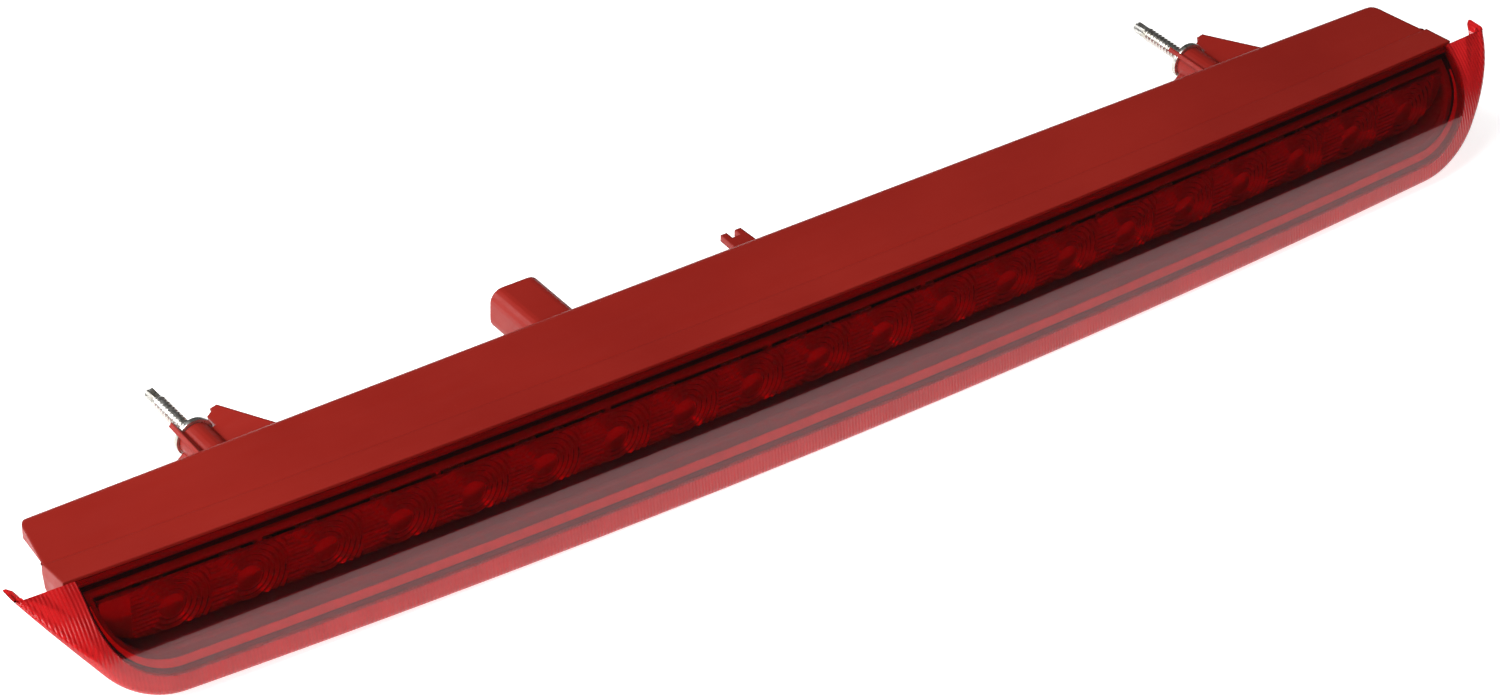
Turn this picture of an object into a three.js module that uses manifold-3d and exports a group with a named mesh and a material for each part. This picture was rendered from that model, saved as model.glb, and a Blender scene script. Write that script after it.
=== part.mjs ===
// A long third brake light: a red moulded housing on two mounting studs, an LED strip board
// behind an inner optic, and a wrapped red outer lens that seals against the housing rim.
// Millimetres. +X runs along the lamp, -Y is the way the light shines, +Z is up.
// The origin is on the flat back wall of the housing, midway between the studs, on their axis.

import * as THREE from 'three';
import { mergeVertices } from 'three/addons/utils/BufferGeometryUtils.js';
import Module from 'manifold-3d';

// ---- driving dimensions ------------------------------------------------------------------

const fit = 0.3; // gap between pieces that touch
const run = 44; // longest straight run of a bowed moulding

// housing
const housingLength = 665; // along the back wall
const endFlare = 3.5; // each end leans out by this much from the back wall to the collar
const collarOverhang = 1; // the collar is wider than the body at each end
const collarStep = 1; // the collar stands above the top face
const collarStart = 27; // the collar starts this far in front of the back wall
const topHeight = 10.8; // top face above the stud axis
const backCorner = 8; // plan radius of the back corners
const edgeRound = 3; // radius along the top and bottom back edges
const endDraft = 40; // behind the collar each end runs in by this much down its height
const endStep = 2; // from the start of the collar to the back of its ends
const wall = 2.6;
const crown = 1.4; // the top edge rises this much in the middle

// the front is bowed: the middle stands forward and hangs lower than the ends
const bowHalf = 385;
const frontBow = 9.7;
const frontDrop = 6.9; // the foot of the lens hangs this much lower in the middle

// outer lens, a section of two tangent arcs
const lensTopY = -44;
const lensRise = 2.5; // top edge of the lens above the top face
const upperRadius = 50;
const lowerRadius = 105;
const topLean = 58; // degrees from upright
const waistLean = 22;
const footLean = 10.8;
const lensThick = 2.4;
const earReach = 19.7; // each ear past the end of the collar
const endLean = 34; // run in of each end down the height of the lens
const lensCorner = 38;
const rimReturn = 6.4; // how far the outer rim turns back
const rimThick = 2.2;
const rimJoin = 0.5; // how deep the rim and the weld leg run into the lens

// seat between lens and housing
const seatSide = 4; // housing lip outside the weld leg
const legThick = 1.8;
const legDeep = 2;
const sealThick = 1.2;
const sealWidth = 2.1;
const seatWidth = 5.2;
const seatTop = 3.9; // weld leg below the top of the lens
const lensHang = 3; // foot of the lens below the underside of the housing rim

// optics and board
const ledCount = 20;
const rowInset = 30.9; // middle of an end LED in from the end of the seat, but for the offset
const rowOffset = 3.5; // the LED row sits this far towards +X
const ledRise = 9.7; // middle of the LEDs above the lower edge of the optic
const opticBehind = 3.97; // top of the optic behind the inside of the lens
const opticThick = 2;
const opticUnder = 1; // top of the optic below the mouth of the housing
const opticLap = 1.2; // lower edge of the optic below the mouth, behind the rim
const opticCorner = 22;
const opticGap = 0.8; // sideways gap to the housing
const pipRadius = 8.5;
const pipDeep = 2;
const ledAir = 4.2; // from the tip of an LED to its pip
const ledBody = 7.6;
const ledBodyDeep = 3;
const ledDome = 2.4;
const ledDomeDeep = 4;
const boardThick = 1.6;
const boardHeight = 17;
const resistorLength = 6.3;
const resistorWidth = 3.2;
const resistorDeep = 0.8;
const boardEnd = 6.4; // board past the middle of each end LED
const ribCount = 8;
const ribThick = 2;
const ribHigh = 10; // down from the top face
const ledsPerString = 4; // each string has one resistor and one board screw
const screwShank = 1.4;
const screwHead = 2.7;
const screwHeadDeep = 1.8;
const screwLength = 12;
const screwBoss = 3.6;

// mounting studs and their bosses
const studSpacing = 492;
const bossRadius = 7;
const bossLength = 19.3;
const flangeRadius = 8.2;
const flangeThick = 2.3;
const threadRadius = 3;
const threadLength = 25.6;
const driveRadius = 2.3;
const driveLength = 7;
const driveLobes = 6;
const rootRadius = 2.8;
const rootLength = 12;
const gussetBase = 28; // out from the stud axis along the back wall
const gussetTop = 6.2; // out past the clearance of the stud flange
const gussetRise = 9.3; // above the boss
const gussetHorn = 3; // width of the horn beside the stud flange
const gussetThick = 2.6;
const gussetAngle = 14;
const bladeAngles = [140, 220];
const bladeWidths = [1.5, 1.7]; // out past the clearance of the stud flange
const bladeRises = [5.8, 0]; // above the boss
const bladeTaper = 2;
const bladeThick = 2;

// connector and locating post
const socketX = -95.5;
const socketZ = -1.3;
const socketWidth = 23;
const socketHeight = 18.6;
const socketLength = 30;
const socketWall = 2;
const socketCorner = 5.5;
const socketFloor = 5; // floor of the socket behind the back wall
const terminalWidth = 2.8;
const terminalThick = 0.8;
const terminalPitch = 8;
const terminalOut = 18; // blade length past the socket floor
const terminalIn = 6; // tail inside the housing
const postX = 6;
const postZ = -4;
const postWidth = 12;
const postThick = 3;
const postLength = 25;
const postNotch = 4;
const postTaper = 1;

// ---- materials ---------------------------------------------------------------------------

const housingRed = new THREE.MeshStandardMaterial({ color: 0x8e2a23, roughness: 0.45, metalness: 0 });
const lensRed = new THREE.MeshStandardMaterial({ color: 0xb3101a, roughness: 0.06, metalness: 0 });
const opticRed = new THREE.MeshStandardMaterial({ color: 0x7a0a10, roughness: 0.1, metalness: 0 });
const sealBlack = new THREE.MeshStandardMaterial({ color: 0x0d0b0b, roughness: 0.8, metalness: 0 });
const boardGreen = new THREE.MeshStandardMaterial({ color: 0x14331f, roughness: 0.5, metalness: 0 });
const ledClear = new THREE.MeshStandardMaterial({ color: 0xd8c8c4, roughness: 0.15, metalness: 0 });
const chipBlack = new THREE.MeshStandardMaterial({ color: 0x151515, roughness: 0.5, metalness: 0 });
const zincSteel = new THREE.MeshStandardMaterial({ color: 0xb9b7b0, roughness: 0.3, metalness: 1 });
const tinnedBrass = new THREE.MeshStandardMaterial({ color: 0xc9c2ae, roughness: 0.3, metalness: 1 });

// ---- solids ------------------------------------------------------------------------------

const wasm = await Module();
wasm.setup();

function toSolid(geometry) {
  const bare = geometry.clone();
  bare.deleteAttribute('normal');
  bare.deleteAttribute('uv');
  const merged = mergeVertices(bare, 1e-4);
  return new wasm.Manifold(
    new wasm.Mesh({
      numProp: 3,
      vertProperties: new Float32Array(merged.attributes.position.array),
      triVerts: new Uint32Array(merged.index.array),
    }),
  );
}

function toGeometry(solid) {
  const mesh = solid.getMesh();
  const geometry = new THREE.BufferGeometry();
  geometry.setAttribute('position', new THREE.BufferAttribute(mesh.vertProperties, 3));
  geometry.setIndex(new THREE.BufferAttribute(mesh.triVerts, 1));
  geometry.computeVertexNormals();
  return geometry;
}

function join(...solids) {
  return solids.reduce((whole, next) => whole.add(next));
}

const radians = THREE.MathUtils.degToRad;
const lensTopZ = topHeight + lensRise;
const rimCorner = endLean; // the rim's lower corners are as round as the ends of the lens run in

// Where the middle of the lens section's two arcs lie, and where the section ends.
const upperCenter = new THREE.Vector2(
  lensTopY + upperRadius * Math.cos(radians(topLean)),
  lensTopZ - upperRadius * Math.sin(radians(topLean)),
);
const lowerCenter = new THREE.Vector2(
  upperCenter.x + (lowerRadius - upperRadius) * Math.cos(radians(waistLean)),
  upperCenter.y - (lowerRadius - upperRadius) * Math.sin(radians(waistLean)),
);
const lensFootZ = lowerCenter.y + lowerRadius * Math.sin(radians(footLean));
const rimBottom = -lensFootZ - lensHang; // underside of the housing rim below the stud axis
const collarHalf = housingLength / 2 + endFlare + collarOverhang;
const lensHalf = collarHalf + earReach;

// The seat's outline is the outside of the weld leg.
const seatHalf = collarHalf - seatSide;
const seatBottom = -rimBottom + seatSide;
const seatTopZ = lensTopZ - seatTop;

// How far forward the middle of the lamp stands at a point along it, as a share of the bow.
function middleShare(x) {
  return 1 - (x / bowHalf) ** 2;
}

// The mouldings' bow: forward and down at the front, a slight crown at the back.
function mouldingBow(x, y, z) {
  const middle = middleShare(x);
  const front = Math.min(-y / collarStart, 1);
  const down = Math.max(lensTopZ - z, 0) / (lensTopZ - lensFootZ);
  const drop = frontDrop * down ** 3 * front;
  const rise = crown * THREE.MathUtils.clamp(z / topHeight, 0, 1) * (1 - front);
  return [x, y - frontBow * middle * front, z + middle * (rise - drop)];
}

// The optics' bow: forward only, so that the LED row stays level.
function opticsBow(x, y, z) {
  return [x, y - frontBow * middleShare(x), z];
}

function bow(geometry, moved) {
  const position = geometry.attributes.position;
  for (let i = 0; i < position.count; i += 1) {
    position.setXYZ(i, ...moved(position.getX(i), position.getY(i), position.getZ(i)));
  }
  return geometry;
}

// A section drawn in the Y-Z plane, run along X and bowed.
function alongX(points, left, right, moved = mouldingBow) {
  const shape = new THREE.Shape(points);
  const depth = right - left;
  const steps = Math.ceil(depth / run);
  const geometry = new THREE.ExtrudeGeometry(shape, { depth, steps, bevelEnabled: false });
  geometry.translate(0, 0, left);
  geometry.applyMatrix4(
    new THREE.Matrix4().makeBasis(
      new THREE.Vector3(0, 1, 0),
      new THREE.Vector3(0, 0, 1),
      new THREE.Vector3(1, 0, 0),
    ),
  );
  return toSolid(bow(geometry, moved));
}

// An outline drawn in the X-Z plane, run along Y from back to front.
function alongY(points, back, front) {
  const shape = new THREE.Shape(points);
  const geometry = new THREE.ExtrudeGeometry(shape, { depth: back - front, bevelEnabled: false });
  geometry.rotateX(Math.PI / 2);
  geometry.translate(0, back, 0);
  return geometry;
}

// The same, bowed with the moulding, in one length for each side of the collar's start.
function bowedAlongY(points, back, front) {
  const stations = [back, ...[-collarStart].filter((y) => y < back && y > front), front];
  const length = (y, i) => toSolid(bow(alongY(points, stations[i], y), mouldingBow));
  return join(...stations.slice(1).map(length));
}

// A plan outline drawn in the X-Y plane, run along Z.
function alongZ(points, bottom, top) {
  const shape = new THREE.Shape(points);
  const geometry = new THREE.ExtrudeGeometry(shape, { depth: top - bottom, bevelEnabled: false });
  geometry.translate(0, 0, bottom);
  return geometry;
}

function arc(centerX, centerY, radius, from, to, steps) {
  const points = [];
  for (let i = 0; i <= steps; i += 1) {
    const angle = radians(from + ((to - from) * i) / steps);
    points.push(new THREE.Vector2(centerX + radius * Math.cos(angle), centerY + radius * Math.sin(angle)));
  }
  return points;
}

function box(width, depth, height, x, y, z) {
  const geometry = new THREE.BoxGeometry(width, depth, height);
  geometry.translate(x, y, z);
  return geometry;
}

// A round bar along +Y from the given point.
function bar(radius, length, x, y, z, sides = 20) {
  const geometry = new THREE.CylinderGeometry(radius, radius, length, sides);
  geometry.translate(x, y + length / 2, z);
  return geometry;
}

// ---- lens section ------------------------------------------------------------------------

// The lens face at a depth behind its outer surface, from the top edge down to the foot.
function facePoints(depth, foot = footLean) {
  const upper = arc(upperCenter.x, upperCenter.y, upperRadius - depth, 180 - topLean, 180 - waistLean, 7);
  const lower = arc(lowerCenter.x, lowerCenter.y, lowerRadius - depth, 180 - waistLean, 180 - foot, 4);
  return [...upper, ...lower.slice(1)];
}

// The place along Y of the upper lens face at a height, at a depth behind its outer surface.
function faceAt(z, depth) {
  const lean = Math.asin((z - upperCenter.y) / (upperRadius - depth));
  return upperCenter.x - (upperRadius - depth) * Math.cos(lean);
}

// Everything in a band of depths behind the lens face.
function faceBand(outer, inner, half, foot) {
  return alongX([...facePoints(outer, foot), ...facePoints(inner, foot).reverse()], -half, half);
}

// Everything further back than the given depth behind the lens face.
function behindFace(depth, half) {
  const past = 12;
  const front = facePoints(depth, 0);
  const top = front[0];
  const foot = front[front.length - 1];
  return alongX(
    [
      new THREE.Vector2(past, lensTopZ + past),
      new THREE.Vector2(top.x, lensTopZ + past),
      ...front,
      new THREE.Vector2(foot.x, foot.y - past),
      new THREE.Vector2(past, foot.y - past),
    ],
    -half,
    half,
  );
}

// ---- front outlines ----------------------------------------------------------------------

// A front outline with square top corners and round lower corners, its long edges divided so
// that it can be bowed. The ends lean in by `lean` from top to bottom, and a corner is never
// rounder than its end is high.
function frontOutline(half, top, bottom, radius, lean) {
  const points = [];
  const corner = Math.min(radius, 0.97 * (top - bottom));
  const slope = Math.atan2(lean, top - bottom);
  const inset = corner * Math.tan((Math.PI / 2 - slope) / 2);
  const footHalf = half - lean;
  const centerX = footHalf - inset;
  const spans = Math.ceil((2 * centerX) / run);
  for (let i = 0; i <= spans; i += 1) {
    points.push(new THREE.Vector2(-half + (2 * half * i) / spans, top));
  }
  points.push(...arc(centerX, bottom + corner, corner, -THREE.MathUtils.radToDeg(slope), -90, 8));
  for (let i = 1; i < spans; i += 1) {
    points.push(new THREE.Vector2(centerX - (2 * centerX * i) / spans, bottom));
  }
  points.push(...arc(-centerX, bottom + corner, corner, -90, THREE.MathUtils.radToDeg(slope) - 180, 8));
  return points;
}

// The reach of a prism that cuts the front pieces.
const cutBack = -collarStart;
const cutFront = -120;

function frontPrism(points) {
  return bowedAlongY(points, cutBack, cutFront);
}

function seatOutline(inset) {
  return frontOutline(
    seatHalf - inset,
    seatTopZ - inset,
    seatBottom + inset,
    rimCorner - seatSide - inset,
    0,
  );
}

function seatRing(outer, inner, width) {
  const past = 20;
  const band = faceBand(outer, inner, collarHalf + past, footLean - 6);
  return band.intersect(frontPrism(seatOutline(0))).subtract(frontPrism(seatOutline(width)));
}

// ---- outer lens --------------------------------------------------------------------------

function makeLens() {
  const past = 15;
  const leanAbove = (endLean * past) / (lensTopZ - lensFootZ);
  const outline = (inset) =>
    frontOutline(
      lensHalf + leanAbove - inset,
      lensTopZ + past,
      lensFootZ + inset,
      lensCorner - inset,
      endLean + leanAbove,
    );
  const plate = faceBand(0, lensThick, lensHalf + past);
  const returned = faceBand(lensThick - rimJoin, lensThick + rimReturn, lensHalf + past);
  const rim = returned.intersect(frontPrism(outline(0))).subtract(frontPrism(outline(rimThick)));
  const skin = plate.intersect(frontPrism(outline(0)));
  const leg = seatRing(lensThick - rimJoin, lensThick + legDeep, legThick);
  return join(skin, rim, leg);
}

// ---- housing -----------------------------------------------------------------------------

const seatFloor = lensThick + legDeep + fit + sealThick + fit; // depth behind the lens face
const rowLength = 2 * (seatHalf - rowInset);
const ledPitch = rowLength / (ledCount - 1);
const stringCount = Math.floor(ledCount / ledsPerString);
const screwHole = screwShank + fit;
const opticTop = seatTopZ - seatWidth - opticUnder;
const opticBottom = seatBottom + seatWidth - opticLap;
const opticY = faceAt(opticTop, lensThick) + opticBehind;
const opticBack = opticY + opticThick;
const ledHeight = opticBottom + ledRise;
const boardFront = opticBack + pipDeep + ledAir + ledDomeDeep + ledBodyDeep + fit;
const boardBack = boardFront + boardThick;

function ledX(index) {
  return rowOffset + (index - (ledCount - 1) / 2) * ledPitch;
}

// Each string of LEDs has a board screw between its two middle LEDs.
function screwX(index) {
  return ledX(index * ledsPerString + Math.ceil(ledsPerString / 2) - 0.5);
}

// The plan of the body, inset on every side but the front. In front of the shoulder it is wider
// than the collar, whose ends the front outline cuts.
function planOutline(inset) {
  const half = housingLength / 2;
  const flared = half + endFlare - inset;
  const wide = collarOverhang * 4;
  const right = [
    ...arc(half - backCorner, -backCorner, backCorner - inset, 90, 0, 6),
    new THREE.Vector2(flared, -collarStart),
    new THREE.Vector2(flared + wide, -collarStart - 4 * collarStep),
    new THREE.Vector2(flared + wide, cutFront),
  ];
  return [...right, ...right.map((point) => new THREE.Vector2(-point.x, point.y)).reverse()];
}

// The section of the body, whose underside the front outline cuts.
function bodySection() {
  return [
    ...arc(-edgeRound, topHeight - edgeRound, edgeRound, 0, 90, 4),
    new THREE.Vector2(-collarStart, topHeight),
    new THREE.Vector2(-collarStart - collarStep, topHeight + collarStep),
    new THREE.Vector2(lensTopY, lensTopZ),
    new THREE.Vector2(cutFront, lensTopZ),
    new THREE.Vector2(cutFront, 2 * lensFootZ),
    new THREE.Vector2(-collarStart, 2 * lensFootZ),
    ...arc(-edgeRound, -rimBottom + edgeRound, edgeRound, -90, 0, 4),
  ];
}

// What is cut from below each end of the body behind the collar, grown inwards by a wall.
function endWedges(grown) {
  const past = 10;
  const half = housingLength / 2 + endFlare + collarOverhang / 2;
  const level = topHeight - grown;
  const lowest = -rimBottom - frontDrop;
  const points = [
    new THREE.Vector2(half - endDraft - grown, lowest - past),
    new THREE.Vector2(half + past, lowest - past),
    new THREE.Vector2(half + past, level),
    new THREE.Vector2(half - grown, level),
    new THREE.Vector2(half - endDraft - grown, lowest),
  ];
  const front = -collarStart - endStep - grown;
  const mirrored = points.map((point) => new THREE.Vector2(-point.x, point.y));
  return toSolid(alongY(points, past, front)).add(toSolid(alongY(mirrored, past, front)));
}

function makeBody() {
  const past = 10;
  const highest = lensTopZ + past;
  const lowest = -rimBottom - frontDrop - past;
  const outline = frontOutline(collarHalf, highest, -rimBottom, rimCorner, 0);
  const plan = toSolid(alongZ(planOutline(0), lowest, highest));
  const trimmed = alongX(bodySection(), -collarHalf - past, collarHalf + past)
    .intersect(plan)
    .intersect(bowedAlongY(outline, past, cutFront))
    .subtract(endWedges(0));
  const front = lensThick + fit;
  return trimmed.intersect(behindFace(front, collarHalf + past));
}

// The hollow: narrow at the seat, and as wide as the walls allow behind it.
function makeCavity() {
  const past = 10;
  const lowest = -rimBottom - frontDrop - past;
  const plan = toSolid(alongZ(planOutline(wall), lowest, lensTopZ));
  const mouth = bowedAlongY(seatOutline(seatWidth), past, cutFront);
  const inset = wall - seatSide;
  const corner = rimCorner - wall;
  const room = frontOutline(seatHalf - inset, topHeight - wall, seatBottom + inset, corner, 0);
  const wide = bowedAlongY(room, past, cutFront);
  const hollow = wide.intersect(behindFace(seatFloor + wall, collarHalf + past)).add(mouth);
  return hollow.intersect(plan).subtract(endWedges(wall));
}

// The pocket in the rim that takes the seal and the lens's weld leg.
function makeSeatPocket() {
  return frontPrism(seatOutline(-fit)).subtract(behindFace(seatFloor, collarHalf + rimCorner));
}

// A web drawn in the plane of a boss's axis, standing on the back wall at an angle round it.
function bossWeb(points, thick, angle) {
  const shape = new THREE.Shape(points.map(([radius, y]) => new THREE.Vector2(radius, y)));
  const geometry = new THREE.ExtrudeGeometry(shape, { depth: thick, bevelEnabled: false });
  geometry.translate(0, 0, -thick / 2);
  geometry.rotateY(-radians(angle));
  return geometry;
}

function makeBoss(x) {
  const sunk = wall / 2;
  const shoulder = flangeRadius + 2 * fit;
  const inside = bossRadius / 2;
  const seat = bossLength - 2 * fit;
  const high = seat + gussetRise;
  const horn = shoulder + gussetHorn;
  const gusset = [
    [inside, -sunk],
    [gussetBase, -sunk],
    [shoulder + gussetTop, high],
    [horn, high],
    [horn, high - gussetHorn / 2],
    [shoulder, high - gussetHorn],
    [shoulder, seat],
    [inside, seat],
  ];
  const blades = bladeAngles.map((angle, i) => {
    const tip = shoulder + bladeWidths[i];
    const raised = [
      [tip, seat + bladeRises[i]],
      [shoulder, seat + bladeRises[i]],
    ];
    const top = bladeRises[i] > 0 ? [...raised, [shoulder, seat]] : raised;
    const foot = [
      [inside, -sunk],
      [tip + bladeTaper, -sunk],
    ];
    return bossWeb([...foot, ...top, [inside, seat]], bladeThick, angle);
  });
  const webs = [bossWeb(gusset, gussetThick, gussetAngle), ...blades].map((web) => toSolid(web));
  const boss = toSolid(bar(bossRadius, bossLength + sunk, 0, -sunk, 0, 24));
  return join(boss, ...webs).translate([x, 0, 0]);
}

function studBore(x) {
  const deep = rootLength + 1;
  return toSolid(bar(rootRadius + fit, deep + 1, x, bossLength - deep, 0, 16));
}

function makeSocket() {
  const sunk = wall / 2;
  const shell = toSolid(roundedBar(socketWidth, socketHeight, socketCorner, -sunk, socketLength));
  const inner = roundedBar(
    socketWidth - 2 * socketWall,
    socketHeight - 2 * socketWall,
    socketCorner - socketWall,
    socketFloor,
    socketLength + 1,
  );
  return shell.subtract(toSolid(inner)).translate([socketX, 0, socketZ]);
}

// A bar of rounded-rectangle section along Y, on the Y axis.
function roundedBar(width, height, corner, back, end) {
  const right = width / 2 - corner;
  const top = height / 2 - corner;
  const points = [
    ...arc(right, top, corner, 0, 90, 5),
    ...arc(-right, top, corner, 90, 180, 5),
    ...arc(-right, -top, corner, 180, 270, 5),
    ...arc(right, -top, corner, 270, 360, 5),
  ];
  return alongY(points, end, back);
}

function terminalSlots() {
  const slot = (side) =>
    toSolid(
      box(
        terminalWidth + 2 * fit,
        2 * (socketFloor + wall),
        terminalThick + 2 * fit,
        socketX + (side * terminalPitch) / 2,
        0,
        socketZ,
      ),
    );
  return slot(-1).add(slot(1));
}

function makePost() {
  const half = postWidth / 2;
  const notch = postNotch / 2;
  const sunk = wall / 2;
  const points = [
    [-half, -sunk],
    [half, -sunk],
    [half - postTaper, postLength],
    [notch, postLength],
    [notch, postLength - postNotch],
    [-notch, postLength - postNotch],
    [-notch, postLength],
    [postTaper - half, postLength],
  ].map(([x, y]) => new THREE.Vector2(x, y));
  return toSolid(alongZ(points, -postThick / 2, postThick / 2)).translate([postX, 0, postZ]);
}

// Ribs under the roof: they stiffen it and stand behind the optic.
function makeRib(index) {
  const x = rowOffset + ((index + 0.5) / ribCount - 0.5) * rowLength;
  const half = ribThick / 2;
  const under = topHeight - wall / 2;
  const bottom = topHeight - ribHigh;
  const points = [
    new THREE.Vector2(x - half, bottom),
    new THREE.Vector2(x + half, bottom),
    new THREE.Vector2(x + half, under),
    new THREE.Vector2(x - half, under),
  ];
  return bowedAlongY(points, -wall / 2, opticBack + fit);
}

function boardBackAt(x) {
  return opticsBow(x, boardBack, 0)[1];
}

function screwPost(x) {
  const front = boardBackAt(x) + fit;
  return toSolid(bar(screwBoss, -wall / 2 - front, x, front, ledHeight, 16));
}

function screwPilot(x) {
  const front = boardBackAt(x);
  return toSolid(bar(screwHole, screwLength, x, front, ledHeight, 12));
}

function each(count, make) {
  return Array.from({ length: count }, (_, index) => make(index));
}

function makeHousing() {
  const screws = each(stringCount, screwX);
  const ribs = join(...each(ribCount, makeRib)).intersect(behindFace(seatFloor, collarHalf));
  const ribbed = join(makeBody().subtract(makeCavity()), ribs);
  const shell = ribbed.subtract(makeSeatPocket());
  const studs = [-studSpacing / 2, studSpacing / 2];
  const inside = screws.map(screwPost);
  const outside = [...studs.map(makeBoss), makeSocket(), makePost()];
  const holes = [...studs.map(studBore), ...screws.map(screwPilot), terminalSlots()];
  return join(shell, ...inside, ...outside).subtract(join(...holes));
}

// ---- seal and optics ---------------------------------------------------------------------

function makeSeal() {
  const front = lensThick + legDeep + fit;
  return seatRing(front, front + sealThick, sealWidth);
}

function makeOptic() {
  const half = seatHalf - seatWidth - opticGap;
  const points = frontOutline(half, opticTop, opticBottom, opticCorner, 0);
  const strip = alongX(
    [
      new THREE.Vector2(opticY, opticBottom),
      new THREE.Vector2(opticBack, opticBottom),
      new THREE.Vector2(opticBack, opticTop),
      new THREE.Vector2(opticY, opticTop),
    ],
    -half,
    half,
    opticsBow,
  ).intersect(toSolid(alongY(points, 0, cutFront)));
  const pips = each(ledCount, (index) => {
    const cone = new THREE.CylinderGeometry(pipRadius * 0.6, pipRadius, pipDeep + opticThick / 2, 12);
    const x = ledX(index);
    cone.translate(x, opticsBow(x, opticBack, 0)[1] + pipDeep / 2 - opticThick / 4, ledHeight);
    return toSolid(cone);
  });
  return join(strip, ...pips);
}

function makeBoard() {
  const half = rowLength / 2 + boardEnd;
  const top = ledHeight + boardHeight / 2;
  const strip = alongX(
    [
      new THREE.Vector2(boardFront, top - boardHeight),
      new THREE.Vector2(boardBack, top - boardHeight),
      new THREE.Vector2(boardBack, top),
      new THREE.Vector2(boardFront, top),
    ],
    rowOffset - half,
    rowOffset + half,
    opticsBow,
  );
  const holes = each(stringCount, screwX).map((x) =>
    toSolid(bar(screwHole, 4 * boardThick, x, boardBackAt(x) - 2 * boardThick, ledHeight, 12)),
  );
  return strip.subtract(join(...holes));
}

// One LED: a square body against the board and a domed lens, facing -Y.
function makeLed() {
  const body = toSolid(box(ledBody, ledBodyDeep, ledBody, 0, -ledBodyDeep / 2, 0));
  const neck = ledDomeDeep - ledDome;
  const stem = toSolid(bar(ledDome, neck + 1, 0, -ledBodyDeep - neck, 0, 8));
  const ball = new THREE.SphereGeometry(ledDome, 8, 5);
  ball.translate(0, -ledBodyDeep - neck, 0);
  return join(body, stem, toSolid(ball));
}

function makeScrew() {
  const head = toSolid(bar(screwHead, screwHeadDeep, 0, -screwHeadDeep, 0, 14));
  const shank = toSolid(bar(screwShank, screwLength, 0, -screwHeadDeep / 2, 0, 12));
  return head.add(shank);
}

// ---- studs and terminals -----------------------------------------------------------------

// A double-ended stud on the Y axis, its flange seated at y = 0.
function makeStud() {
  const chamfer = 0.5;
  const threadEnd = flangeThick + threadLength;
  const profile = [
    [0, -rootLength],
    [rootRadius - chamfer, -rootLength],
    [rootRadius, chamfer - rootLength],
    [rootRadius, 0],
    [flangeRadius - chamfer, 0],
    [flangeRadius, chamfer],
    [flangeRadius, flangeThick - chamfer],
    [flangeRadius - chamfer, flangeThick],
    [threadRadius, flangeThick],
    [threadRadius, threadEnd - chamfer],
    [threadRadius - chamfer, threadEnd],
    [0, threadEnd],
  ].map(([radius, y]) => new THREE.Vector2(radius, y));
  const turned = toSolid(new THREE.LatheGeometry(profile, 24));
  const lobes = each(driveLobes * 4, (index) => {
    const angle = (2 * Math.PI * index) / (driveLobes * 4);
    const radius = driveRadius * (1 + 0.12 * Math.cos(driveLobes * angle));
    return new THREE.Vector2(radius * Math.cos(angle), radius * Math.sin(angle));
  });
  const drive = toSolid(alongY(lobes, threadEnd + driveLength, threadEnd - chamfer));
  return turned.add(drive);
}

function makeTerminal() {
  const half = terminalWidth / 2;
  const nose = 1;
  const tip = socketFloor + terminalOut;
  const points = [
    [-half, -terminalIn],
    [half, -terminalIn],
    [half, tip - nose],
    [half - nose / 2, tip],
    [nose / 2 - half, tip],
    [-half, tip - nose],
  ].map(([x, y]) => new THREE.Vector2(x, y));
  return alongZ(points, -terminalThick / 2, terminalThick / 2);
}

// ---- assembly ----------------------------------------------------------------------------

const lamp = new THREE.Group();

function put(name, geometry, material, x = 0, y = 0, z = 0) {
  const mesh = new THREE.Mesh(geometry, material);
  mesh.name = name;
  mesh.position.set(x, y, z);
  lamp.add(mesh);
  return mesh;
}

// Places a piece on the bowed board, turned to lie along it.
function putOnBoard(name, geometry, material, x) {
  const [, y] = opticsBow(x, boardFront, 0);
  const mesh = put(name, geometry, material, x, y - fit, ledHeight);
  mesh.rotation.z = Math.atan((2 * frontBow * x) / bowHalf ** 2);
}

function numbered(name, index) {
  return `${name}_${String(index + 1).padStart(2, '0')}`;
}

put('housing', toGeometry(makeHousing()), housingRed);
put('outer_lens', toGeometry(makeLens()), lensRed);
put('lens_seal', toGeometry(makeSeal()), sealBlack);
put('inner_optic', toGeometry(makeOptic()), opticRed);
put('led_board', toGeometry(makeBoard()), boardGreen);

const led = toGeometry(makeLed());
each(ledCount, (index) => putOnBoard(numbered('led', index), led, ledClear, ledX(index)));

const resistor = box(resistorLength, resistorDeep, resistorWidth, 0, -resistorDeep / 2, 0);
const screw = toGeometry(makeScrew());
each(stringCount, (index) => {
  const middle = screwX(index);
  putOnBoard(numbered('resistor', index), resistor, chipBlack, middle + ledPitch);
  const under = boardBackAt(middle) - boardThick - fit;
  put(numbered('board_screw', index), screw, zincSteel, middle, under, ledHeight);
});

const stud = toGeometry(makeStud());
const studSeat = bossLength + fit;
put('mount_stud_left', stud, zincSteel, -studSpacing / 2, studSeat, 0);
put('mount_stud_right', stud, zincSteel, studSpacing / 2, studSeat, 0);

const terminal = makeTerminal();
put('terminal_left', terminal, tinnedBrass, socketX - terminalPitch / 2, 0, socketZ);
put('terminal_right', terminal, tinnedBrass, socketX + terminalPitch / 2, 0, socketZ);

export default lamp;
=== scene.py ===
"""A long red third brake light on a pale floor: satin moulded housing, wrapped clear red lens with
a fluted rim, ringed inner optic, LEDs on their board, and two threaded studs at the back."""

import math

import bmesh
import bpy
from mathutils import Matrix, Vector


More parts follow.
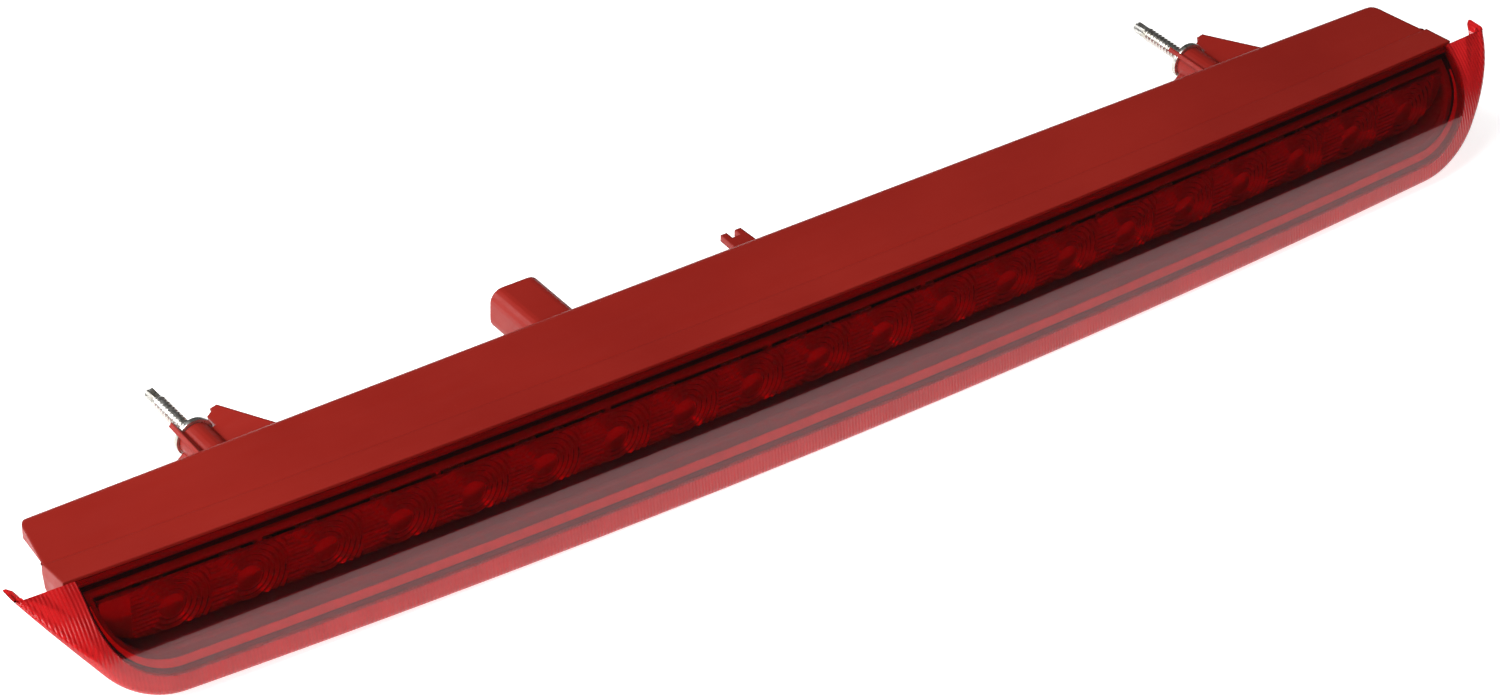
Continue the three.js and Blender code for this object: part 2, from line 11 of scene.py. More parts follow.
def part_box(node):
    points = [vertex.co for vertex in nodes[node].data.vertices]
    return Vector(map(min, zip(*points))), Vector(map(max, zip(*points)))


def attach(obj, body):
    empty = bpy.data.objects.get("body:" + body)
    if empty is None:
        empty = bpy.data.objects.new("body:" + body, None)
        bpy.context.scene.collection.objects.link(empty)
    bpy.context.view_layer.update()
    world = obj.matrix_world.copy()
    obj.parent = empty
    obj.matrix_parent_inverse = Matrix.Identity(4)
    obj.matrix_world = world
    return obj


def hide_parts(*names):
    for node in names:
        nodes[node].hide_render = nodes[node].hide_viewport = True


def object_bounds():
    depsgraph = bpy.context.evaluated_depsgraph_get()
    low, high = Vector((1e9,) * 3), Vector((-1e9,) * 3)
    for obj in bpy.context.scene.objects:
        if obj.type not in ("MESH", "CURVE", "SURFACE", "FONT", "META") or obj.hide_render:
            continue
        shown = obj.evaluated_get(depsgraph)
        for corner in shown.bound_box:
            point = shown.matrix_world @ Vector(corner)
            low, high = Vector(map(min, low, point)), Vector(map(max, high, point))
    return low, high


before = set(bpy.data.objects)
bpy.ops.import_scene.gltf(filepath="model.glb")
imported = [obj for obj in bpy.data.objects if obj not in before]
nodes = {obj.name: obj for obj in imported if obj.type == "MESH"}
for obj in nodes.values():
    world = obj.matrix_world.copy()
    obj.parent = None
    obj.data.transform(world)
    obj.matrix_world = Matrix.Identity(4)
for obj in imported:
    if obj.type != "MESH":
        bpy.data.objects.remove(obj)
cad_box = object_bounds()

MM = 0.001
rad = math.radians

# ---- sizes the frame doesn't state, in millimetres ------------------------------------------

# how the front bows along its length: half the span, then forward and down at the middle
BOW_HALF = 385
FRONT_BOW = 9.7
FRONT_DROP = 6.9

# the lens section: two arcs, with the lean of the surface where each begins and ends
LENS_TOP_Y = -44
LENS_TOP_Z = 13.3
UPPER_RADIUS = 50
LOWER_RADIUS = 105
TOP_LEAN = 58
WAIST_LEAN = 22
FOOT_LEAN = 10.8
LENS_THICK = 2.4

# the lens outline, seen from the front
LENS_HALF = 356.7
END_LEAN = 34
LENS_CORNER = 38

# the rim turned back round the outline
RIM_DEEP = 8.8
RIM_THICK = 2.2
RIM_ROLL = 2.4

# how far an edge of the rim or of a stud's flange is softened, and the first step of it
EDGE_SOFT = 0.5
EDGE_FIRST = 0.15

# the outline of the weld leg
SEAT_HALF = 333
SEAT_LOW = -23
SEAT_CORNER = 30

# the strip of the leg that catches the light: insets from its outline, depths behind the face
STRIP_OUTER = 2.0
STRIP_INNER = 5.0
STRIP_FRONT = 3.6
STRIP_BACK = 4.4

# the row of LEDs, which the optic's cells follow
LED_COUNT = 20
LED_PITCH = 31.8
ROW_OFFSET = 3.5
LED_HEIGHT = -9.3


# ---- small helpers --------------------------------------------------------------------------


def face_outward(mesh):
    """Turns every face of a closed mesh outward."""
    shape = bmesh.new()
    shape.from_mesh(mesh)
    bmesh.ops.recalc_face_normals(shape, faces=shape.faces)
    if shape.calc_volume(signed=True) < 0:
        bmesh.ops.reverse_faces(shape, faces=shape.faces)
    shape.to_mesh(mesh)
    shape.free()


def mesh_object(name, verts, faces, material):
    """A smooth-shaded piece, from points in millimetres."""
    mesh = bpy.data.meshes.new(name)
    mesh.from_pydata([tuple(c * MM for c in v) for v in verts], [], faces)
    mesh.validate()
    face_outward(mesh)
    mesh.update()
    for polygon in mesh.polygons:
        polygon.use_smooth = True
    obj = bpy.data.objects.new(name, mesh)
    bpy.context.scene.collection.objects.link(obj)
    mesh.materials.append(material)
    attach(obj, "root")
    return obj


def sharpen(obj, degrees):
    """Keeps creases crisp where faces meet at more than the angle."""
    obj.data.set_sharp_from_angle(angle=rad(degrees))


def between(a, b, share):
    """The point a share of the way from one point to another."""
    return tuple(p + (q - p) * share for p, q in zip(a, b))


# ---- the lens face --------------------------------------------------------------------------

upper_center = (
    LENS_TOP_Y + UPPER_RADIUS * math.cos(rad(TOP_LEAN)),
    LENS_TOP_Z - UPPER_RADIUS * math.sin(rad(TOP_LEAN)),
)
lower_center = (
    upper_center[0] + (LOWER_RADIUS - UPPER_RADIUS) * math.cos(rad(WAIST_LEAN)),
    upper_center[1] - (LOWER_RADIUS - UPPER_RADIUS) * math.sin(rad(WAIST_LEAN)),
)
waist_z = upper_center[1] + UPPER_RADIUS * math.sin(rad(WAIST_LEAN))
foot_z = lower_center[1] + LOWER_RADIUS * math.sin(rad(FOOT_LEAN))


def face_point(z, depth):
    """A point of the lens section at height z on its outer surface, moved back by a depth."""
    if z > waist_z:
        center, radius = upper_center, UPPER_RADIUS
    else:
        center, radius = lower_center, LOWER_RADIUS
    lean = math.asin(max(-1, min(1, (z - center[1]) / radius)))
    inner = radius - depth
    return center[0] - inner * math.cos(lean), center[1] + inner * math.sin(lean)


def middle_share(x):
    """1 at the middle of the lamp, falling to 0 at the ends of the bow."""
    return 1 - (x / BOW_HALF) ** 2


def droop(x, z):
    """How much lower a point of the front hangs than it would on a straight lamp."""
    down = max(LENS_TOP_Z - z, 0) / (LENS_TOP_Z - foot_z)
    return FRONT_DROP * down**3 * middle_share(x)


def bowed(x, y, z):
    """Bows a straight front moulding: the middle stands forward and hangs lower."""
    return x, y - FRONT_BOW * middle_share(x), z - droop(x, z)


def lens_point(x, z, depth):
    """A point at a depth behind the outer surface, square to it."""
    y, lowered = face_point(z, depth)
    return bowed(x, y, lowered)


def rim_point(x, z, back):
    """A point straight back from the outer surface, as the rim is drawn."""
    return bowed(x, face_point(z, 0)[0] + back, z)


# ---- outer lens -----------------------------------------------------------------------------

FLAT_FROM = 9.0
FACE_INSETS = [FLAT_FROM, 7.0, 5.4, 4.0, 3.0]
FACE_STEPS = 22
ROLL_STEPS = 9
INNER_ROLL_STEPS = 5
CORNER_STEPS = 18
FOOT_STEPS = 160
SIDE_STEPS = 14
TOP_CROWDING = 1.2
UNBOW_ROUNDS = 4
CREASE = 35


def lens_outline():
    """Points round the lens from the left ear tip, down, along the foot and up to the right ear,
    each with its inward direction and the place on the top edge that it is joined to."""
    slope = math.atan2(END_LEAN, LENS_TOP_Z - foot_z)
    inset = LENS_CORNER * math.tan((math.pi / 2 - slope) / 2)
    center_x = LENS_HALF - END_LEAN - inset
    center_z = foot_z + LENS_CORNER
    inward = (math.cos(slope), math.sin(slope))
    corner_start = (-center_x - LENS_CORNER * inward[0], center_z - LENS_CORNER * inward[1])
    left = []
    for i in range(SIDE_STEPS):
        t = i / SIDE_STEPS
        x = -LENS_HALF + (corner_start[0] + LENS_HALF) * t
        z = LENS_TOP_Z + (corner_start[1] - LENS_TOP_Z) * t
        left.append((x, z, *inward))
    for i in range(CORNER_STEPS):
        angle = slope + (math.pi / 2 - slope) * i / CORNER_STEPS
        dx, dz = math.cos(angle), math.sin(angle)
        left.append((-center_x - LENS_CORNER * dx, center_z - LENS_CORNER * dz, dx, dz))
    shares = [(i / len(left)) ** TOP_CROWDING for i in range(len(left))]
    tops = [-LENS_HALF + (LENS_HALF - center_x) * share for share in shares]
    left = [(*p, top) for p, top in zip(left, tops)]
    foot = []
    for i in range(FOOT_STEPS + 1):
        x = -center_x + 2 * center_x * i / FOOT_STEPS
        foot.append((x, foot_z, 0, 1, x))
    right = [(-x, z, -dx, dz, -top) for x, z, dx, dz, top in reversed(left)]
    return left + foot + right


def lens_column(x, z, dx, dz, top_x):
    """One closed section of the lens, from its top edge down the outside, round the rim and back
    up the inside."""

    def inset(distance):
        return x + dx * distance, min(z + dz * distance, LENS_TOP_Z)

    start = inset(FLAT_FROM)
    face = []
    for i in range(FACE_STEPS):
        t = i / FACE_STEPS
        px = top_x + (start[0] - top_x) * t
        pz = LENS_TOP_Z + (start[1] - LENS_TOP_Z) * t
        face.append((px, pz))
    column = [lens_point(px, pz, 0) for px, pz in face]
    column += [lens_point(*inset(d), 0) for d in FACE_INSETS]
    for i in range(ROLL_STEPS + 1):
        angle = math.pi / 2 * i / ROLL_STEPS
        across, back = RIM_ROLL * (1 - math.sin(angle)), RIM_ROLL * (1 - math.cos(angle))
        column.append(rim_point(*inset(across), back))
    column.append(rim_point(*inset(0), RIM_DEEP - EDGE_SOFT))
    column.append(rim_point(*inset(EDGE_FIRST), RIM_DEEP - EDGE_FIRST))
    column.append(rim_point(*inset(EDGE_SOFT), RIM_DEEP))
    column.append(rim_point(*inset(RIM_THICK - EDGE_SOFT), RIM_DEEP))
    column.append(rim_point(*inset(RIM_THICK - EDGE_FIRST), RIM_DEEP - EDGE_FIRST))
    column.append(rim_point(*inset(RIM_THICK), RIM_DEEP - EDGE_SOFT))
    inner_roll = RIM_ROLL - RIM_THICK + 0.4
    for i in range(INNER_ROLL_STEPS + 1):
        angle = math.pi / 2 * (1 - i / INNER_ROLL_STEPS)
        across = RIM_THICK + inner_roll * (1 - math.sin(angle))
        column.append(rim_point(*inset(across), LENS_THICK + inner_roll * (1 - math.cos(angle))))
    column += [lens_point(*inset(d), LENS_THICK) for d in reversed(FACE_INSETS)]
    column += [lens_point(px, pz, LENS_THICK) for px, pz in reversed(face)]
    return column


def past_seat(x, z):
    """How far a point lies outside the outline of the weld leg, on the unbowed front."""
    across = abs(x) - (SEAT_HALF - SEAT_CORNER)
    under = SEAT_LOW + SEAT_CORNER - z
    if across > 0 and under > 0:
        return math.hypot(across, under) - SEAT_CORNER
    return max(across, under) - SEAT_CORNER


def make_lens(material):
    """The lens, carrying how far each point lies past the weld leg, which starts the flutes."""
    columns = [lens_column(*p) for p in lens_outline()]
    count = len(columns[0])
    verts = [v for column in columns for v in column]
    faces = []
    for i in range(len(columns) - 1):
        for j in range(count):
            k = (j + 1) % count
            a, b = i * count, (i + 1) * count
            faces.append((a + j, b + j, b + k, a + k))
    faces.append(tuple(range(count)))
    last = (len(columns) - 1) * count
    faces.append(tuple(last + j for j in reversed(range(count))))
    obj = mesh_object("outer_lens_clear", verts, faces, material)
    band = obj.data.attributes.new("band", "FLOAT", "POINT")
    for vertex, mark in zip(obj.data.vertices, band.data):
        x, z = vertex.co[0] / MM, vertex.co[2] / MM
        raised = z
        for _ in range(UNBOW_ROUNDS):
            raised = z + droop(x, raised)
        mark.value = past_seat(x, raised)
    sharpen(obj, CREASE)
    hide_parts("outer_lens")


# ---- the foot of the weld leg ---------------------------------------------------------------

LEG_CORNER_STEPS = 16
LEG_FOOT_STEPS = 120
LEG_TAPER_STEPS = 14
LEG_TIP_SHARE = 0.1


def leg_outline(inset):
    """The seat outline from high on the left end, round the foot, to high on the right end."""
    radius = SEAT_CORNER - inset
    center_x, center_z = SEAT_HALF - SEAT_CORNER, SEAT_LOW + SEAT_CORNER
    left = []
    for i in range(LEG_CORNER_STEPS + 1):
        angle = math.pi / 2 * i / LEG_CORNER_STEPS
        left.append((-center_x - radius * math.cos(angle), center_z - radius * math.sin(angle)))
    foot = []
    for i in range(1, LEG_FOOT_STEPS):
        foot.append((-center_x + 2 * center_x * i / LEG_FOOT_STEPS, SEAT_LOW + inset))
    return left + foot + [(-x, z) for x, z in reversed(left)]


def make_leg(material):
    """The bright strip along the foot and both lower corners, tapered at its two tips."""
    outer, inner = leg_outline(STRIP_OUTER), leg_outline(STRIP_INNER)
    count = len(outer)
    verts, faces = [], []
    for i, (near, far) in enumerate(zip(outer, inner)):
        share = min(1, LEG_TIP_SHARE + min(i, count - 1 - i) / LEG_TAPER_STEPS)
        edge = between(near, far, share)
        verts += [lens_point(*near, STRIP_FRONT), lens_point(*edge, STRIP_FRONT)]
        verts += [lens_point(*edge, STRIP_BACK), lens_point(*near, STRIP_BACK)]
    for i in range(count - 1):
        for j in range(4):
            k = (j + 1) % 4
            faces.append((4 * i + j, 4 * (i + 1) + j, 4 * (i + 1) + k, 4 * i + k))
    faces.append((0, 1, 2, 3))
    faces.append(tuple(4 * (count - 1) + j for j in (3, 2, 1, 0)))
    obj = mesh_object("outer_lens_leg", verts, faces, material)
    sharpen(obj, CREASE)


# ---- inner optic ----------------------------------------------------------------------------

OPTIC_TOP = 3.2
OPTIC_BOTTOM = -19
OPTIC_FRONT = -48.5
OPTIC_THICK = 2
OPTIC_CORNER = 20

# the rings of a cell: RING_RISE is the share of each ring that is its long slope
RING_PITCH = 2.3
RING_START = 5.2
RING_DEEP = 0.95
RING_RISE = 0.62
DISH_SHARE = 0.4

# the wedge of flutes, its half angle in radians and how crisply it meets the rings
WEDGE_HALF = 0.75
WEDGE_CRISP = 7
FLUTE_PITCH = 1.9
FLUTE_SHARE = 0.5

OPTIC_STEP = 0.33
OPTIC_CREASE = 28


def optic_relief(across, up):
    """How far the front of a cell stands back, at a place measured from its rings' middle: a
    shallow dish, rings round it, and level flutes in a wedge to its left."""
    radius = math.hypot(across, up)
    if radius < RING_START:
        return RING_DEEP * DISH_SHARE * (radius / RING_START) ** 2
    toward = math.atan2(up, across)
    ringed = 1 / (1 + math.exp(-(abs(math.pi - abs(toward)) - WEDGE_HALF) * WEDGE_CRISP))
    turn = ((radius - RING_START) / RING_PITCH) % 1
    ring = turn / RING_RISE if turn < RING_RISE else (1 - turn) / (1 - RING_RISE)
    flute = abs(2 * ((up / FLUTE_PITCH) % 1) - 1)
    return RING_DEEP * (ringed * ring + (1 - ringed) * FLUTE_SHARE * flute)


def make_optic(material):
    """The strip of ringed cells: a relief in front, a plain back, and a wall round the edge."""
    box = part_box("inner_optic")
    low_x, high_x = box[0][0] / MM, box[1][0] / MM
    columns = int((high_x - low_x) / OPTIC_STEP)
    rows = int((OPTIC_TOP - OPTIC_BOTTOM) / OPTIC_STEP)
    row_length = LED_PITCH * LED_COUNT
    first = ROW_OFFSET - row_length / 2
    verts = []
    faces = []
    for is_back in (False, True):
        for i in range(columns + 1):
            x = low_x + (high_x - low_x) * i / columns
            over = max(abs(x) - (high_x - OPTIC_CORNER), 0)
            floor = OPTIC_BOTTOM + OPTIC_CORNER - math.sqrt(max(OPTIC_CORNER**2 - over**2, 0.01))
            for j in range(rows + 1):
                z = OPTIC_TOP + (floor - OPTIC_TOP) * j / rows
                back = 0
                if is_back:
                    back = OPTIC_THICK
                elif 0 <= x - first <= row_length:
                    back = optic_relief((x - first) % LED_PITCH - LED_PITCH / 2, z - LED_HEIGHT)
                verts.append((x, OPTIC_FRONT + back - FRONT_BOW * middle_share(x), z))
    per = rows + 1
    sheet = (columns + 1) * per
    for i in range(columns):
        for j in range(rows):
            a = i * per + j
            faces.append((a, a + 1, a + per + 1, a + per))
            b = sheet + a
            faces.append((b, b + per, b + per + 1, b + 1))
    for i in range(columns):
        for j in (0, rows):
            a, b = i * per + j, (i + 1) * per + j
            faces.append((a, b, sheet + b, sheet + a) if j == 0 else (b, a, sheet + a, sheet + b))
    for j in range(rows):
        for i in (0, columns):
            a, b = i * per + j, i * per + j + 1
            faces.append((b, a, sheet + a, sheet + b) if i == 0 else (a, b, sheet + b, sheet + a))
    obj = mesh_object("inner_optic_cells", verts, faces, material)
    sharpen(obj, OPTIC_CREASE)
    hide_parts("inner_optic")


# ---- studs ----------------------------------------------------------------------------------

STUD_ROOT = -12
FLANGE_R = 8.2
FLANGE_THICK = 2.3
THREAD_R = 3.0
THREAD_LENGTH = 25.6
THREAD_TURNS = 13
THREAD_DEEP = 0.75
CREST_SHARE = 0.12
DRIVE_R = 2.3
DRIVE_LENGTH = 7
DRIVE_LOBES = 6
LOBE_SHARE = 0.12
STUD_SIDES = 48
TURN_STEPS = 12
STUD_CREASE = 40


def stud_profile():
    """Stations up the stud: height, radius, how much thread, how much lobing."""
    stations = [(STUD_ROOT, 2.5, 0, 0), (STUD_ROOT + 0.4, 2.8, 0, 0), (0.0, 2.8, 0, 0)]
    stations += [(0.0, FLANGE_R - EDGE_SOFT, 0, 0), (EDGE_FIRST, FLANGE_R - EDGE_FIRST, 0, 0)]
    stations += [(EDGE_SOFT, FLANGE_R, 0, 0), (FLANGE_THICK - EDGE_SOFT, FLANGE_R, 0, 0)]
    stations += [(FLANGE_THICK - EDGE_FIRST, FLANGE_R - EDGE_FIRST, 0, 0)]
    stations += [(FLANGE_THICK, FLANGE_R - EDGE_SOFT, 0, 0)]
    stations += [(FLANGE_THICK + 0.1, THREAD_R + 1.2, 0, 0)]
    stations += [(FLANGE_THICK + 0.4, THREAD_R + 0.4, 0, 0)]
    count = THREAD_TURNS * TURN_STEPS
    for i in range(count + 1):
        t = i / count
        fade = min(1, t * 10, (1 - t) * 10)
        radius = THREAD_R - max(0, 0.5 - (1 - t) * 12) * 0.6
        stations.append((FLANGE_THICK + 0.8 + (THREAD_LENGTH - 0.8) * t, radius, fade, 0))
    base = FLANGE_THICK + THREAD_LENGTH
    tip = base + DRIVE_LENGTH
    stations += [(base + 0.05, DRIVE_R + 0.2, 0, 0.3), (base + 0.5, DRIVE_R, 0, 1)]
    stations += [(tip - 0.7, DRIVE_R, 0, 1), (tip - 0.2, DRIVE_R - 0.3, 0, 0.9)]
    stations += [(tip, DRIVE_R - 0.7, 0, 0.6)]
    return stations


def make_stud(node, material):
    """A flanged stud with a cut thread and a lobed drive end, along Y."""
    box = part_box(node)
    center_x = (box[0][0] + box[1][0]) / 2 / MM
    center_z = (box[0][2] + box[1][2]) / 2 / MM
    seat = box[1][1] / MM - FLANGE_THICK - THREAD_LENGTH - DRIVE_LENGTH
    verts, faces = [], []
    stations = stud_profile()
    for y, radius, thread, lobe in stations:
        for k in range(STUD_SIDES):
            angle = 2 * math.pi * k / STUD_SIDES
            turn = (y - FLANGE_THICK) / THREAD_LENGTH * THREAD_TURNS - k / STUD_SIDES
            flank = (abs(2 * (turn % 1) - 1) - CREST_SHARE) / (1 - 2 * CREST_SHARE)
            r = radius - thread * THREAD_DEEP * min(1, max(0, flank))
            r *= 1 + LOBE_SHARE * lobe * math.cos(DRIVE_LOBES * angle)
            verts.append((center_x + r * math.cos(angle), seat + y, center_z - r * math.sin(angle)))
    for i in range(len(stations) - 1):
        for k in range(STUD_SIDES):
            m = (k + 1) % STUD_SIDES
            a, b = i * STUD_SIDES, (i + 1) * STUD_SIDES
            faces.append((a + k, a + m, b + m, b + k))
    faces.append(tuple(reversed(range(STUD_SIDES))))
    last = (len(stations) - 1) * STUD_SIDES
    faces.append(tuple(last + k for k in range(STUD_SIDES)))
    obj = mesh_object(node + "_threaded", verts, faces, material)
    sharpen(obj, STUD_CREASE)
    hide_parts(node)


# ---- materials ------------------------------------------------------------------------------


class Shader:
    """A Principled material with a few node helpers."""

    def __init__(self, name, color, roughness, metallic=0.0):
        self.material = bpy.data.materials.new(name)
        self.material.use_nodes = True
        self.tree = self.material.node_tree
        self.bsdf = self.tree.nodes["Principled BSDF"]
        self.bsdf.inputs["Base Color"].default_value = (*color, 1)
        self.bsdf.inputs["Roughness"].default_value = roughness
        self.bsdf.inputs["Metallic"].default_value = metallic
        self.coords = self.tree.nodes.new("ShaderNodeTexCoord").outputs["Object"]

    def set(self, **values):
        for name, value in values.items():
            self.bsdf.inputs[name.replace("_", " ")].default_value = value

    def node(self, kind, **inputs):
        node = self.tree.nodes.new(kind)
        for name, value in inputs.items():
            socket = node.inputs[name.replace("_", " ")]
            if isinstance(value, bpy.types.NodeSocket):
                self.tree.links.new(value, socket)
            else:
                socket.default_value = value
        return node

    def noise(self, scale, detail=3, roughness=0.55, vector=None):
        node = self.node("ShaderNodeTexNoise", Scale=scale, Detail=detail, Roughness=roughness)
        self.tree.links.new(vector or self.coords, node.inputs["Vector"])
        return node.outputs["Fac"]

    def stretched(self, x, y, z):
        """The object's coordinates, scaled on each axis."""
        node = self.node("ShaderNodeMapping", Scale=(x, y, z))
        self.tree.links.new(self.coords, node.inputs["Vector"])
        return node.outputs["Vector"]

    def ramp(self, value, low, high, start=0.3, end=0.7):
        """Runs from low to high as the value goes from start to end."""
        node = self.node("ShaderNodeMapRange", Value=value)
        node.inputs["From Min"].default_value = start
        node.inputs["From Max"].default_value = end
        node.inputs["To Min"].default_value = low
        node.inputs["To Max"].default_value = high
        return node.outputs["Result"]

    def mix(self, factor, first, second):
        node = self.tree.nodes.new("ShaderNodeMix")
        node.data_type = "RGBA"
        self.link(factor, node.inputs[0])
        self.link(first, node.inputs[6])
        self.link(second, node.inputs[7])
        return node.outputs[2]

    def link(self, value, socket):
        if isinstance(value, bpy.types.NodeSocket):
            self.tree.links.new(value, socket)
        elif isinstance(value, tuple):
            socket.default_value = (*value, 1)
        else:
            socket.default_value = value

    def color(self, value):
        self.tree.links.new(value, self.bsdf.inputs["Base Color"])

    def rough(self, value):
        self.tree.links.new(value, self.bsdf.inputs["Roughness"])

    def bump(self, height, distance, strength=1.0, normal=None):
        node = self.node("ShaderNodeBump", Height=height, Distance=distance, Strength=strength)
        if normal is not None:
            self.tree.links.new(normal, node.inputs["Normal"])
        self.tree.links.new(node.outputs["Normal"], self.bsdf.inputs["Normal"])


def housing_material():
    """Satin moulded red, faintly clouded, with a fine grain and softened edges."""
    s = Shader("housing_red_moulded", (0.26, 0.014, 0.009), 0.42)
    s.set(Specular_IOR_Level=0.2)
    cloud = s.noise(9, 4)
    fine = s.noise(2600, 2)
    warm = s.mix(s.ramp(cloud, 0, 1), (0.235, 0.012, 0.008), (0.285, 0.017, 0.011))
    specks = s.ramp(s.noise(900, 2), 0, 0.25, 0.68, 0.76)
    s.color(s.mix(specks, warm, (0.34, 0.03, 0.02)))
    streaks = s.noise(30, 4, 0.6, s.stretched(1, 6, 6))
    s.rough(s.ramp(streaks, 0.36, 0.5))
    edge = s.node("ShaderNodeBevel", Radius=0.0012).outputs["Normal"]
    s.bump(fine, 0.00006, 0.35, edge)
    return s.material


def lens_material():
    """Clear red inside the weld leg and finely fluted outside it."""
    s = Shader("lens_clear_red", (0.85, 0.02, 0.035), 0.03)
    s.set(IOR=1.5, Transmission_Weight=1.0, Specular_IOR_Level=0.27)
    s.set(Coat_Weight=0.15, Coat_Roughness=0.2, Coat_IOR=1.5)
    s.rough(s.ramp(s.noise(260, 3), 0.015, 0.05))
    s.bump(s.noise(14, 2), 0.00025, 0.12)
    fluted = s.tree.nodes.new("ShaderNodeBsdfPrincipled")
    fluted.inputs["IOR"].default_value = 1.5
    fluted.inputs["Transmission Weight"].default_value = 0.5
    tint = s.mix(s.ramp(s.noise(60, 3), 0, 1), (0.60, 0.012, 0.014), (0.70, 0.018, 0.02))
    s.tree.links.new(tint, fluted.inputs["Base Color"])
    s.tree.links.new(s.ramp(s.noise(260, 3), 0.12, 0.22), fluted.inputs["Roughness"])
    flutes = s.node("ShaderNodeTexWave", Scale=209.0, Distortion=0.1)
    s.tree.links.new(s.coords, flutes.inputs["Vector"])
    ridges = s.node("ShaderNodeBump", Height=flutes.outputs["Fac"], Distance=0.0003, Strength=0.5)
    s.tree.links.new(ridges.outputs["Normal"], fluted.inputs["Normal"])
    band = s.tree.nodes.new("ShaderNodeAttribute")
    band.attribute_name = "band"
    share = s.ramp(band.outputs["Fac"], 0, 1, -0.3, 0.3)
    both = s.node("ShaderNodeMixShader", Fac=share)
    s.tree.links.new(s.bsdf.outputs["BSDF"], both.inputs[1])
    s.tree.links.new(fluted.outputs["BSDF"], both.inputs[2])
    s.tree.links.new(both.outputs["Shader"], s.tree.nodes["Material Output"].inputs["Surface"])
    return s.material


def leg_material():
    s = Shader("lens_leg_red", (0.8, 0.03, 0.035), 0.35)
    s.color(s.mix(s.ramp(s.noise(200, 3), 0, 1), (0.72, 0.025, 0.03), (0.88, 0.04, 0.045)))
    s.rough(s.ramp(s.noise(500, 2), 0.3, 0.45))
    return s.material


def optic_material():
    s = Shader("optic_ringed_red", (0.3, 0.008, 0.012), 0.16)
    s.set(Specular_IOR_Level=1.0, Metallic=0.12)
    s.color(s.mix(s.ramp(s.noise(420, 3), 0, 1), (0.25, 0.006, 0.01), (0.31, 0.008, 0.014)))
    s.rough(s.ramp(s.noise(700, 2), 0.12, 0.24))
    return s.material


def seal_material():
    s = Shader("seal_black_bead", (0.012, 0.010, 0.010), 0.6)
    s.color(s.mix(s.ramp(s.noise(300, 3), 0, 1), (0.009, 0.008, 0.008), (0.022, 0.017, 0.016)))
    s.bump(s.noise(500, 3), 0.0002, 0.5)
    return s.material


def board_material():
    s = Shader("board_solder_resist", (0.02, 0.075, 0.035), 0.4)
    tracks = s.ramp(s.noise(90, 1, 0.3, s.stretched(0.4, 1, 4)), 0, 1, 0.48, 0.52)
    s.color(s.mix(tracks, (0.018, 0.07, 0.032), (0.035, 0.12, 0.055)))
    s.rough(s.ramp(s.noise(400, 2), 0.3, 0.5))
    return s.material


def led_material():
    s = Shader("led_clear_epoxy", (0.75, 0.55, 0.52), 0.12)
    s.color(s.mix(s.ramp(s.noise(500, 3), 0, 1), (0.62, 0.42, 0.4), (0.82, 0.66, 0.62)))
    s.rough(s.ramp(s.noise(900, 2), 0.08, 0.2))
    return s.material


def chip_material():
    s = Shader("chip_matt_ceramic", (0.02, 0.02, 0.02), 0.55)
    s.color(s.mix(s.ramp(s.noise(800, 3), 0, 1), (0.014, 0.014, 0.015), (0.035, 0.034, 0.033)))
    s.bump(s.noise(1500, 2), 0.00003, 0.6)
    return s.material


def zinc_material():
    s = Shader("zinc_plated_steel", (0.62, 0.61, 0.57), 0.3, 0.95)
    tarnish = s.ramp(s.noise(160, 4), 0, 1, 0.42, 0.7)
    s.color(s.mix(tarnish, (0.66, 0.65, 0.62), (0.44, 0.41, 0.34)))
    s.rough(s.ramp(s.noise(700, 3), 0.2, 0.42))
    s.bump(s.noise(1800, 2), 0.00003, 0.4)
    return s.material


def tin_material():
    s = Shader("tinned_brass", (0.72, 0.68, 0.58), 0.3, 0.95)
    s.color(s.mix(s.ramp(s.noise(240, 4), 0, 1), (0.74, 0.71, 0.63), (0.55, 0.50, 0.40)))
    s.rough(s.ramp(s.noise(600, 3), 0.22, 0.4))
    return s.material


def floor_material():
    s = Shader("floor_pale", (0.86, 0.86, 0.86), 0.6)
    s.color(s.mix(s.ramp(s.noise(3, 2), 0, 1), (0.84, 0.84, 0.84), (0.88, 0.88, 0.88)))
    s.set(Emission_Color=(1, 1, 1, 1), Emission_Strength=0.76)
    return s.material


# ---- dressing the frame ---------------------------------------------------------------------


def dress(name, material):
    slots = nodes[name].data.materials
    slots.clear()
    slots.append(material)


def dress_nodes():
    """Gives each CAD node its material, and returns the studs' zinc."""
    dress("housing", housing_material())
    dress("lens_seal", seal_material())
    dress("led_board", board_material())
    led, chip, zinc, tin = led_material(), chip_material(), zinc_material(), tin_material()
    for name in nodes:
        if name.startswith("led_") and name != "led_board":
            dress(name, led)
        elif name.startswith("resistor_"):
            dress(name, chip)
        elif name.startswith("board_screw_"):
            dress(name, zinc)
        elif name.startswith("terminal_"):
            dress(name, tin)
    return zinc


# ---- camera, floor and light ----------------------------------------------------------------

VIEW_AZIMUTH = -37.44
VIEW_ELEVATION = 35.31
VIEW_ROLL = 2.27
VIEW_DISTANCE = 1.79
VIEW_AIM = Vector((0.003, 0.005, -0.0484))
FOCAL = 105.4
FLOOR_HALF = 6.0
WORLD_LEVEL = 0.05

# name, place, width and height in metres, and watts; each one faces the lamp
LIGHTS = [
    ("key_left", (-2.0, -0.2, 2.1), (1.8, 1.8), 105),
    ("fill_front", (-1.7, -2.2, 1.5), (1.4, 1.2), 26),
    ("rim_back", (-1.5, 1.9, 1.0), (1.2, 0.8), 24),
]


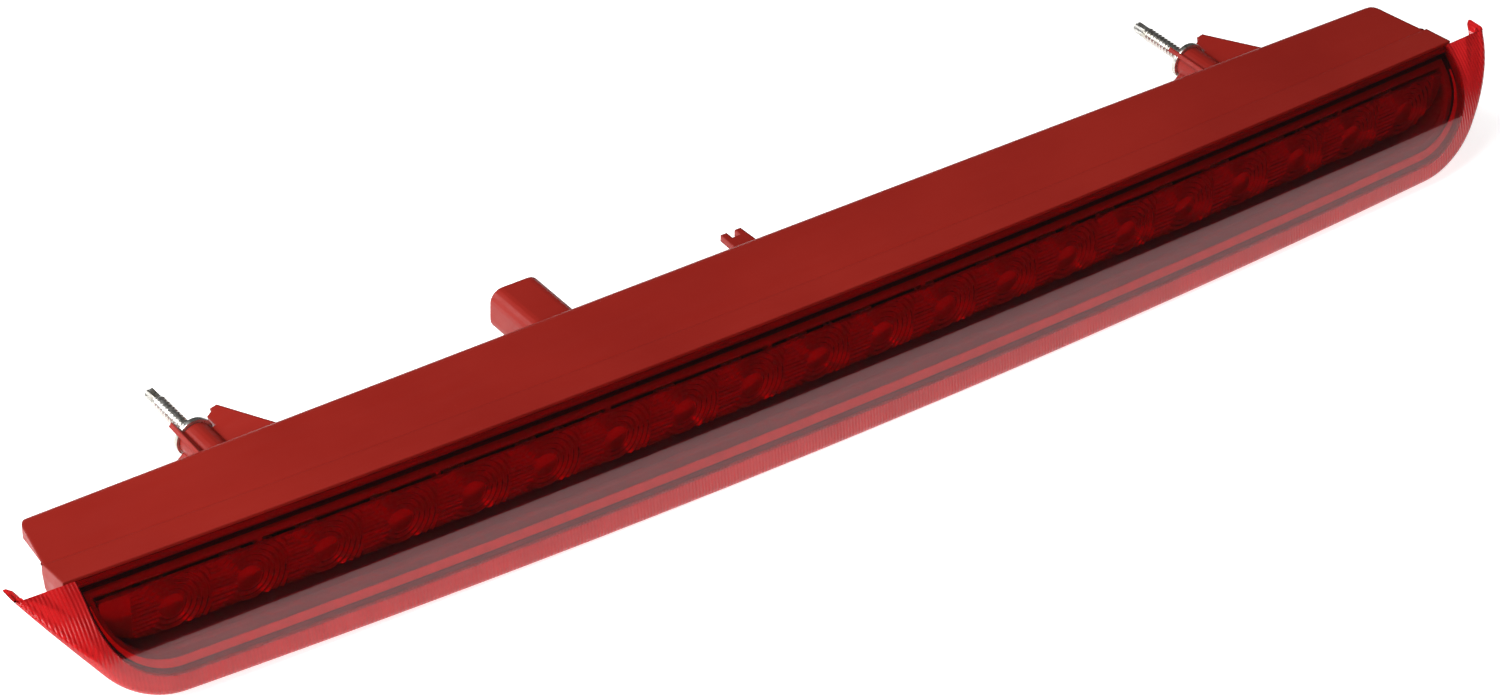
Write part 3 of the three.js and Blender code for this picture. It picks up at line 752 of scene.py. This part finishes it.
def place_camera():
    azimuth, elevation = rad(VIEW_AZIMUTH), rad(VIEW_ELEVATION)
    level_share = math.cos(elevation)
    across, away = math.sin(azimuth) * level_share, -math.cos(azimuth) * level_share
    back = Vector((across, away, math.sin(elevation)))
    level = Vector((0, 0, 1)).cross(back).normalized()
    tilt = Matrix.Rotation(rad(VIEW_ROLL), 3, back)
    right = tilt @ level
    up = back.cross(right)
    camera = bpy.data.objects.new("camera", bpy.data.cameras.new("camera"))
    bpy.context.scene.collection.objects.link(camera)
    camera.data.sensor_width = 36
    camera.data.lens = FOCAL
    camera.data.clip_end = 50
    turn = Matrix((right, up, back)).transposed().to_4x4()
    camera.matrix_world = Matrix.Translation(VIEW_AIM + back * VIEW_DISTANCE) @ turn
    bpy.context.scene.camera = camera


def area_light(name, place, size, power):
    light = bpy.data.lights.new(name, "AREA")
    light.shape = "RECTANGLE"
    light.size, light.size_y = size
    light.energy = power
    obj = bpy.data.objects.new(name, light)
    bpy.context.scene.collection.objects.link(obj)
    facing = (-Vector(place)).to_track_quat("-Z", "Y").to_matrix().to_4x4()
    obj.matrix_world = Matrix.Translation(place) @ facing


def set_stage(material):
    low, half = cad_box[0][2], FLOOR_HALF
    mesh = bpy.data.meshes.new("floor")
    corners = [(-half, -half, low), (half, -half, low), (half, half, low), (-half, half, low)]
    mesh.from_pydata(corners, [], [(0, 1, 2, 3)])
    mesh.materials.append(material)
    floor = bpy.data.objects.new("floor", mesh)
    bpy.context.scene.collection.objects.link(floor)
    for light in LIGHTS:
        area_light(*light)
    world = bpy.data.worlds.new("studio")
    world.use_nodes = True
    background = world.node_tree.nodes["Background"]
    background.inputs["Color"].default_value = (1, 1, 1, 1)
    background.inputs["Strength"].default_value = WORLD_LEVEL
    bpy.context.scene.world = world
    bpy.context.scene.view_settings.view_transform = "Standard"


# ---- build ----------------------------------------------------------------------------------

place_camera()
zinc = dress_nodes()
make_lens(lens_material())
make_leg(leg_material())
make_optic(optic_material())
make_stud("mount_stud_left", zinc)
make_stud("mount_stud_right", zinc)
set_stage(floor_material())
